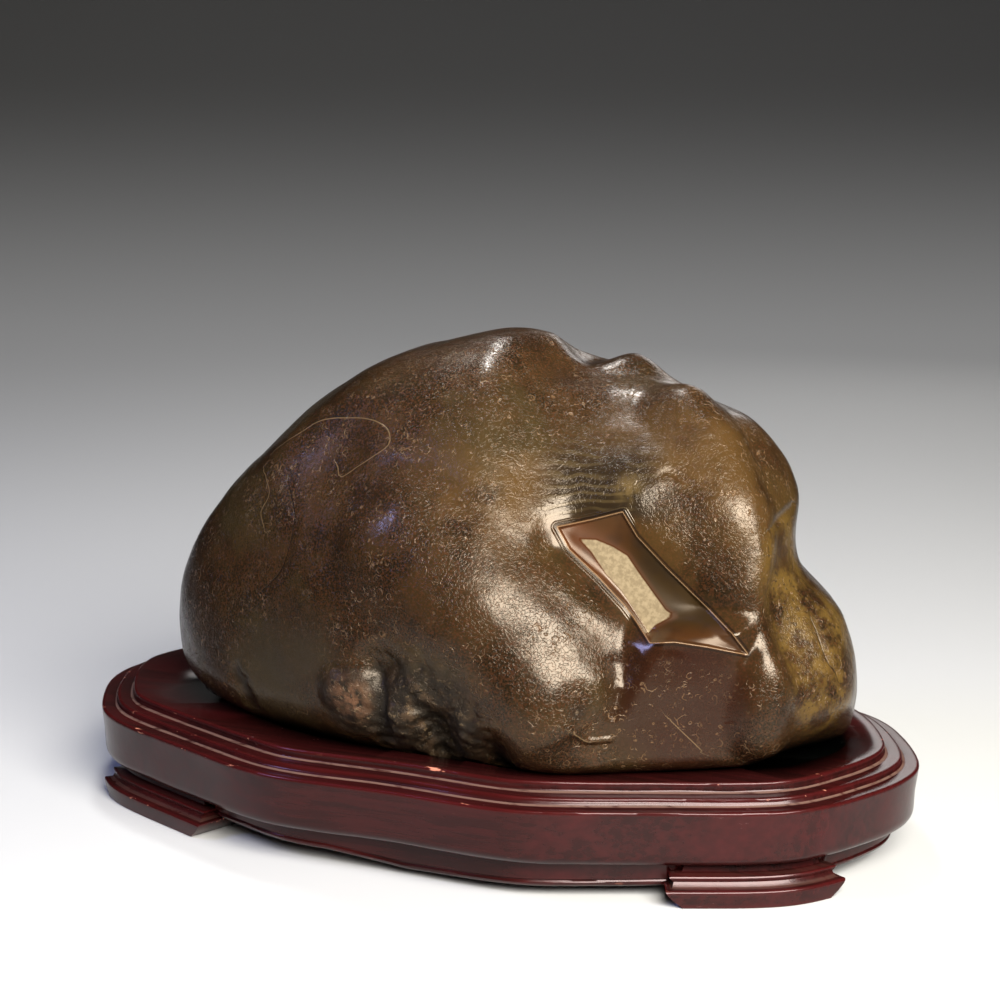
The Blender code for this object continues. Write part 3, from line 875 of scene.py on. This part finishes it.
def rim_loop():
    """The rim seen from above, counter-clockwise, the same in all four quarters."""
    front_right = [(x, -y) for x, y in RIM_QUARTER]
    right_back = [(x, y) for x, y in reversed(RIM_QUARTER[:-1])]
    back_left = [(-x, y) for x, y in RIM_QUARTER[1:]]
    left_front = [(-x, -y) for x, y in reversed(RIM_QUARTER[1:-1])]
    rough = np.array(smooth_loop(front_right + right_back + back_left + left_front, RIM_STEPS))
    closed = np.vstack((rough, rough[:1]))
    length = run_lengths(closed)
    even = np.linspace(0, length[-1], RIM_POINTS, endpoint=False)
    places = np.stack([np.interp(even, length, closed[:, k]) for k in (0, 1)], 1)
    for _ in range(RIM_SOFTENING):
        places = 0.5 * places + 0.25 * (np.roll(places, 1, 0) + np.roll(places, -1, 0))
    return [Vector(place) for place in places]


def inset_loop(loop, inset, unevenness=0.0):
    """The loop moved towards its inside, with the small wander of a hand-cut edge."""
    moved = []
    for index, point in enumerate(loop):
        along = (loop[(index + 1) % len(loop)] - loop[index - 1]).normalized()
        wander = unevenness * noise.noise(Vector((*point * WANDER_ALONG, inset * WANDER_UP)))
        moved.append(point + Vector((-along.y, along.x)) * (inset + wander))
    return moved


def raise_levels(name, levels):
    """A closed solid through level outlines of equal counts, bottom first, from a sphere."""
    around, up = len(levels[0]), len(levels)
    piece = start_piece(bpy.ops.mesh.primitive_uv_sphere_add, name,
                        segments=around, ring_count=up + 1)
    mesh = piece.data
    sphere = read_points(mesh)
    turn = np.arctan2(sphere[:, 1], sphere[:, 0]) / math.tau * around
    turn = np.rint(turn).astype(int) % around
    fall = np.arccos(np.clip(sphere[:, 2], -1, 1)) / math.pi * (up + 1)
    level = up - np.rint(fall).astype(int)
    rings = np.array(levels)
    points = rings[np.clip(level, 0, up - 1), turn]
    points[level == up] = rings[-1].mean(0)
    points[level == -1] = rings[0].mean(0)
    write_points(mesh, points)
    bpy.ops.object.mode_set(mode="EDIT")
    bpy.ops.mesh.select_all(action="SELECT")
    bpy.ops.mesh.normals_make_consistent(inside=False)
    bpy.ops.object.mode_set(mode="OBJECT")
    return piece, level


def solid_copy(node, growth):
    """A closed copy of a frame node whose faces stand a little further out, to cut with."""
    copy = bpy.data.objects.new(node + "_room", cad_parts[node].data.copy())
    bpy.context.scene.collection.objects.link(copy)
    form = bmesh.new()
    form.from_mesh(copy.data)
    bmesh.ops.remove_doubles(form, verts=form.verts, dist=1e-6)
    form.normal_update()
    for vert, move in [(vert, vert.normal * growth) for vert in form.verts]:
        vert.co += move
    form.to_mesh(copy.data)
    form.free()
    return copy


def cut_away(piece, cutter):
    """Take the cutter's room out of the piece, and the cutter out of the scene."""
    cut = piece.modifiers.new("cut", "BOOLEAN")
    cut.operation = "DIFFERENCE"
    cut.solver = "EXACT"
    cut.object = cutter
    bpy.context.view_layer.objects.active = piece
    bpy.ops.object.modifier_apply(modifier=cut.name)
    bpy.data.objects.remove(cutter, do_unlink=True)


def board_profile():
    """(inset, height, arris, cove) up the board's edge. Arris and cove are 1 on those lines."""
    low, taper = BOARD_LOW.z, SIDE_TAPER
    profile = [(taper + LOWER_ROUND + 3 * MM, low, 0, 0)]
    for step in range(7):
        turn = math.radians(90 - 15 * step)
        profile.append((taper + LOWER_ROUND * (1 - math.cos(turn)),
                        low + LOWER_ROUND * (1 - math.sin(turn)), 0, 0))
    profile.append((0.8 * taper, low + 0.55 * (RIM_HEIGHT - low), 0, 0))
    inset, height = 0.0, RIM_HEIGHT
    for rise, depth in STEPS + ((0.0, 0.0),):
        profile += [(inset + back * MM, height + up * MM, arris, 0)
                    for back, up, arris in WORN_EDGE]
        if depth:
            corner = inset + depth
            profile += [(corner - 2.4 * COVE_RADIUS, height, 0, 0)]
            for step in range(5):
                turn = math.radians(22.5 * step)
                profile.append((corner - COVE_RADIUS * (1 - math.sin(turn)),
                                height + 0.8 * COVE_RADIUS * (1 - math.cos(turn)),
                                0, int(step in (1, 2))))
        inset, height = inset + depth, height + rise
    return profile


def store_lines(piece, level, lines):
    """Keep each level's (arris, cove) on the points of a raised piece."""
    lines = np.array(list(lines) + [(0, 0)])
    store(piece.data, "arris", lines[level, 0])
    store(piece.data, "cove", lines[level, 1])


def make_board():
    rim = rim_loop()
    profile = board_profile()
    board, level = raise_levels("lobed_board", [
        [(*point, height) for point in inset_loop(rim, inset, BOARD_WANDER)]
        for inset, height, _, _ in profile])
    store_lines(board, level, [row[2:] for row in profile])
    stone_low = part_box("stone")[0].z
    recess = smooth_loop([(x * MM, y * MM) for x, y in RECESS_EDGE], RECESS_STEPS)
    prism, _ = raise_levels("recess", [[(*point, height) for point in recess]
                                       for height in (stone_low - TOUCH_GAP, BOARD_HIGH.z + 0.01)])
    cut_away(board, prism)
    cut_away(board, solid_copy("stone", STONE_ROOM))
    points = read_points(board.data)
    reach = np.hypot(points[:, 0] / HALF_LENGTH, points[:, 1] / HALF_DEPTH)
    within = reach < RECESS_WITHIN
    for name in ("arris", "cove"):
        values = np.empty(len(points), np.float32)
        board.data.attributes[name].data.foreach_get("value", values)
        store(board.data, name, np.where(within, 0, values))
    # Painted shade inside the recess under the stone, full from the depth above on down.
    store(board.data, "pit", within * np.clip((BOARD_HIGH.z - points[:, 2]) / RECESS_SHADE_DEPTH, 0, 1))
    return board


# The apron's lower edge rises and falls: (x, height). Its lower arris is rounded over.
APRON_EDGE = ((-225, 9), (-85, 9.3), (-35, 7.8), (5, 3.8), (45, 4.8), (110, 5.8), (225, 8.5))
APRON_INSET = 12 * MM
# (how far in from the apron's face, height above its lower edge, arris, cove), in mm.
APRON_ROUND = (
    (3.2, 0, 0, 0), (1.6, 0.25, 0, 0), (0.6, 1.0, 0.4, 0), (0.1, 2.2, 0.4, 0), (0.3, 3.0, 0, 0.2),
    (0.7, 3.3, 0, 0.2), (0.7, 3.9, 0, 0.2), (0, 4.2, 0, 0), (0, None, 0, 0))


def make_apron():
    rim = rim_loop()
    places, heights = zip(*APRON_EDGE)
    top = BOARD_LOW.z - TOUCH_GAP
    levels = []
    for inset, rise, _, _ in APRON_ROUND:
        outline = inset_loop(rim, APRON_INSET + inset * MM, APRON_WANDER)
        edge = [float(np.interp(point.x / MM, places, heights)) for point in outline]
        levels.append([(*point, top if rise is None else (low + rise) * MM)
                       for point, low in zip(outline, edge)])
    apron, level = raise_levels("apron", levels)
    store_lines(apron, level, [row[2:] for row in APRON_ROUND])
    for name in FEET:
        cut_away(apron, solid_copy(name, TOUCH_GAP))
    return apron


# Feet: X of the two tips, and the profile up the face.
FOOT_TIPS = {"left": (-194 * MM, -108 * MM), "right": (131 * MM, 204 * MM)}
FEET = {f"foot_{side}_{end}": (end, -1 if side == "front" else 1)
        for side in ("front", "back") for end in FOOT_TIPS}
FOOT_THICKNESS = 32 * MM
FOOT_STEPS = 24
# (height, inset from the rim, how far each end draws back, arris, cove), in mm, floor first.
FOOT_PROFILE = (
    (0, 1.1, 9.5, 0, 0), (0.4, 0.6, 9, 1, 0), (3.5, 0.1, 5, 0, 0), (6.2, -0.3, 2.3, 0, 0),
    (7.4, -0.4, 1.5, 0.6, 0), (8.1, -0.2, 1.1, 1, 0), (8.6, 0.3, 1, 1, 0),
    (8.8, 1.4, 2.2, 0, 0.2), (9.0, 3.0, 3.8, 0, 0.4),
    (9.6, 3.7, 4.3, 0, 0.4), (11.5, 4.8, 5, 0, 0.1), (12.8, 4.5, 3.4, 0.5, 0), (13.4, 4.4, 3, 1, 0),
    (13.9, 4.7, 3.1, 1, 0), (14.2, 5.4, 3.7, 0, 0.3), (14.5, 8.6, 8, 0, 0.3),
    (14.8, 9.5, 9, 0, 0.1), (18.7, 10.5, 11, 0, 0))


def rim_stretch(tips, side):
    """A finder of places along the front or back rim, and where between them the tips lie."""
    rim = rim_loop()
    run = np.array(sorted((*outer, *(inner - outer))
                          for outer, inner in zip(rim, inset_loop(rim, 1)) if outer.y < 0))
    length = run_lengths(run[:, :2])

    def place(distance):
        x, y, across_x, across_y = (np.interp(distance, length, run[:, k]) for k in range(4))
        return Vector((x, y * side)), Vector((across_x, across_y * side))

    start, end = np.interp(tips, run[:, 0], length)
    return place, start, end


def make_foot(name, end, side):
    """A scrolled foot: its face follows the rim, and its ends draw in above and below the ledge."""
    place, start, finish = rim_stretch(FOOT_TIPS[end], -side)
    levels = []
    for height, inset, draw, _, _ in FOOT_PROFILE:
        low, high = start + draw * MM, finish - draw * MM
        outline = []
        for step in range(FOOT_STEPS + 1):
            point, inward = place(low + (high - low) * step / FOOT_STEPS)
            outline.append(point + inward * inset * MM)
        for distance in (high, low):
            point, inward = place(distance)
            outline.append(point + inward * FOOT_THICKNESS)
        levels.append([(*point, height * MM) for point in outline])
    foot, level = raise_levels(name.replace("foot", "scroll_foot"), levels)
    store_lines(foot, level, [row[3:] for row in FOOT_PROFILE])
    return foot


SHARP_ANGLE = 35
WOOD_RELIEF = 0.12 * MM
ROUGH_LACQUER, ROUGH_BARE = 0.22, 0.7


def soften(piece):
    """Shade the piece smooth, but for its sharp arrises."""
    bpy.ops.object.select_all(action="DESELECT")
    piece.select_set(True)
    bpy.context.view_layer.objects.active = piece
    bpy.ops.object.shade_smooth_by_angle(angle=math.radians(SHARP_ANGLE))


def paint_wood():
    """Dark red lacquer: streaked, worn on its arrises, chipped and scuffed, with pale lines in its
    coves that are dust and painted highlight together.
    """
    paint = Paint("dark_red_lacquer", Specular_IOR_Level=0.27, Specular_Tint=(1.0, 0.82, 0.80))
    streaks = paint.cloud(1, 4.0, 0.6, paint.stretched(14, 420, 260))
    broad = paint.cloud(1, 3.0, 0.5, paint.stretched(9, 60, 50))
    worn = paint.mark("arris").ease(0.2, 1.0)
    stretch = paint.cloud(1, 3.0, 0.6, paint.stretched(60, 260, 300))
    chips = worn * stretch.ease(0.64, 0.68) * paint.cloud(26, 1.0).ease(0.46, 0.56)
    # Pale lines along the coves: partly dust, partly painted highlight of the light the coves
    # catch.
    dust_and_cove_sheen = paint.mark("cove").ease(0.2, 0.8) * stretch.ease(0.26, 0.50)
    scuffs = paint.cloud(1, 4.0, 0.7, paint.stretched(90, 200, 420)).ease(0.66, 0.72)
    scuffs = scuffs * paint.cloud(18).ease(0.55, 0.65)
    colour = paint.coats(
        tone(26, 7, 6), (streaks.ease(0.35, 0.7), (42, 12, 11)),
        (broad.ease(0.4, 0.7) * 0.4, (53, 10, 11)), (worn * 0.5, (56, 11, 11)),
        (chips, (165, 106, 83)), (dust_and_cove_sheen * 0.8, (88, 66, 56)),
        # Painted shade: near black inside the recess under the stone.
        (paint.mark("pit").ease(0.0, 0.6), (5, 7, 5)), (scuffs * 0.3, (96, 74, 70)))
    relief = streaks * 0.5 + paint.cloud(60, 2.0) * 0.6 - chips
    rough = paint.blend(dust_and_cove_sheen.most(chips).most(scuffs), (ROUGH_LACQUER,) * 3, (ROUGH_BARE,) * 3)
    return paint.finish(Base_Color=colour, Roughness=rough, Normal=paint.bump(relief, WOOD_RELIEF))


# ---- Stage ----
# The sheet: its front edge, where it starts to rise, the radius of its sweep, its size.
SHEET_FRONT = 0.6
SWEEP_START, SWEEP_RADIUS, SWEEP_SIZE = 1.8, 9.0, 18
SHEET_FACING = math.radians(CAMERA_TURN[2])
# The painted pool of light on the sheet: half its width, how it widens to the back, its front edge,
# its fade.
POOL_HALF, POOL_WIDENING, POOL_FRONT, POOL_FADE = 0.28, 0.245, 0.26, 0.12
SHEET_DARK, SHEET_PALE = (0.05, 0.05, 0.05), (0.43, 0.43, 0.415)
# A faint glow on the far part of the sheet, which rises and fades with distance.
GLOW, GLOW_RISES, GLOW_FADES = 0.11, (0.1, 2.2), (2.0, 4.5)
SURROUND = (0.022, 0.022, 0.023, 1)


def paint_sheet():
    paint = Paint("pale_sheet", Roughness=0.6, Emission_Strength=1.0)
    right = (math.cos(SHEET_FACING), math.sin(SHEET_FACING), 0)
    away = (-math.sin(SHEET_FACING), math.cos(SHEET_FACING), 0)
    side = abs(paint.vector("DOT_PRODUCT", paint.place, right).other("Value"))
    back = paint.vector("DOT_PRODUCT", paint.place, away).other("Value")
    painted_light_pool = 1 - (side - back * POOL_WIDENING).ease(POOL_HALF, POOL_HALF + POOL_FADE)
    painted_light_pool = painted_light_pool * back.ease(-POOL_FRONT - POOL_FADE, -POOL_FRONT)
    glow = back.ease(*GLOW_RISES) * (1 - back.ease(*GLOW_FADES)) * painted_light_pool * GLOW
    return paint.finish(Base_Color=paint.blend(painted_light_pool, SHEET_DARK, SHEET_PALE),
                        Emission_Color=paint.blend(glow, (0, 0, 0), (1, 1, 1)))


def make_stage():
    """A sheet that lies flat under the stand and curves up behind it, in a dim room, pale in a
    painted pool of light and dark around it.
    """
    sheet = start_piece(bpy.ops.mesh.primitive_grid_add, "backdrop",
                        x_subdivisions=8, y_subdivisions=120, size=SWEEP_SIZE)
    x, y, _ = read_points(sheet.data).T
    y = y + SWEEP_SIZE / 2 - SHEET_FRONT
    past = np.maximum(y - SWEEP_START, 0)
    quarter = SWEEP_RADIUS * math.pi / 2
    turn = np.minimum(past / SWEEP_RADIUS, math.pi / 2)
    above = np.maximum(past - quarter, 0)
    y = y + SWEEP_RADIUS * np.sin(turn) - np.minimum(past, quarter) - above
    height = SWEEP_RADIUS * (1 - np.cos(turn)) + above
    across, along = math.cos(SHEET_FACING), math.sin(SHEET_FACING)
    write_points(sheet.data, np.stack(
        (x * across - y * along, x * along + y * across, height), 1))
    bpy.ops.object.shade_smooth()
    sheet.data.materials.append(paint_sheet())
    world = bpy.data.worlds.new("studio")
    bpy.context.scene.world = world
    world.use_nodes = True
    background = world.node_tree.nodes["Background"].inputs
    background["Color"].default_value = SURROUND
    background["Strength"].default_value = 1.0


# Soft boxes: (name, the way to them, distance, width, height, watts, colour).
SOFT_BOXES = (
    ("main", (0.62, -0.61, 0.53), 1.5, 1.2, 0.66, 88, (1.0, 0.97, 0.93)),
    ("upper", (0.42, -0.52, 0.74), 1.6, 0.6, 0.3, 8, (1.0, 0.95, 0.88)),
    ("window", (-0.60, -0.52, 0.58), 1.6, 0.12, 0.55, 10, (0.34, 0.42, 1.0)),
    ("back", (-0.08, 0.95, 0.33), 1.8, 0.4, 0.36, 1.4, (1.0, 0.98, 0.96)),
    ("overhead", (-0.23, 0.33, 0.91), 1.4, 0.22, 0.22, 9, (0.95, 0.97, 1.0)),
)
LIT_PLACE = (0, 0, 0.12)


def make_lights():
    """Each soft box faces the middle of the stone."""
    for name, toward, distance, width, height, watts, colour in SOFT_BOXES:
        lamp = bpy.data.lights.new(name, "AREA")
        lamp.shape = "RECTANGLE"
        lamp.size, lamp.size_y, lamp.energy, lamp.color = width, height, watts, colour
        light = bpy.data.objects.new(name, lamp)
        bpy.context.scene.collection.objects.link(light)
        way = Vector(toward).normalized()
        light.location = way * distance + Vector(LIT_PLACE)
        light.rotation_euler = way.to_track_quat("Z", "Y").to_euler()


def main():
    place_camera()
    make_stage()
    make_lights()
    bpy.context.scene.view_settings.view_transform = "Standard"
    stone = shape_stone()
    stone.data.materials.append(paint_stone())
    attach(stone, "root")
    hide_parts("stone")
    wood = paint_wood()
    stand = {"stand_board": make_board(), "stand_apron": make_apron()}
    stand.update((name, make_foot(name, *place)) for name, place in FEET.items())
    for node, piece in stand.items():
        soften(piece)
        piece.data.materials.clear()
        piece.data.materials.append(wood)
        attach(piece, "root")
        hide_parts(node)


main()
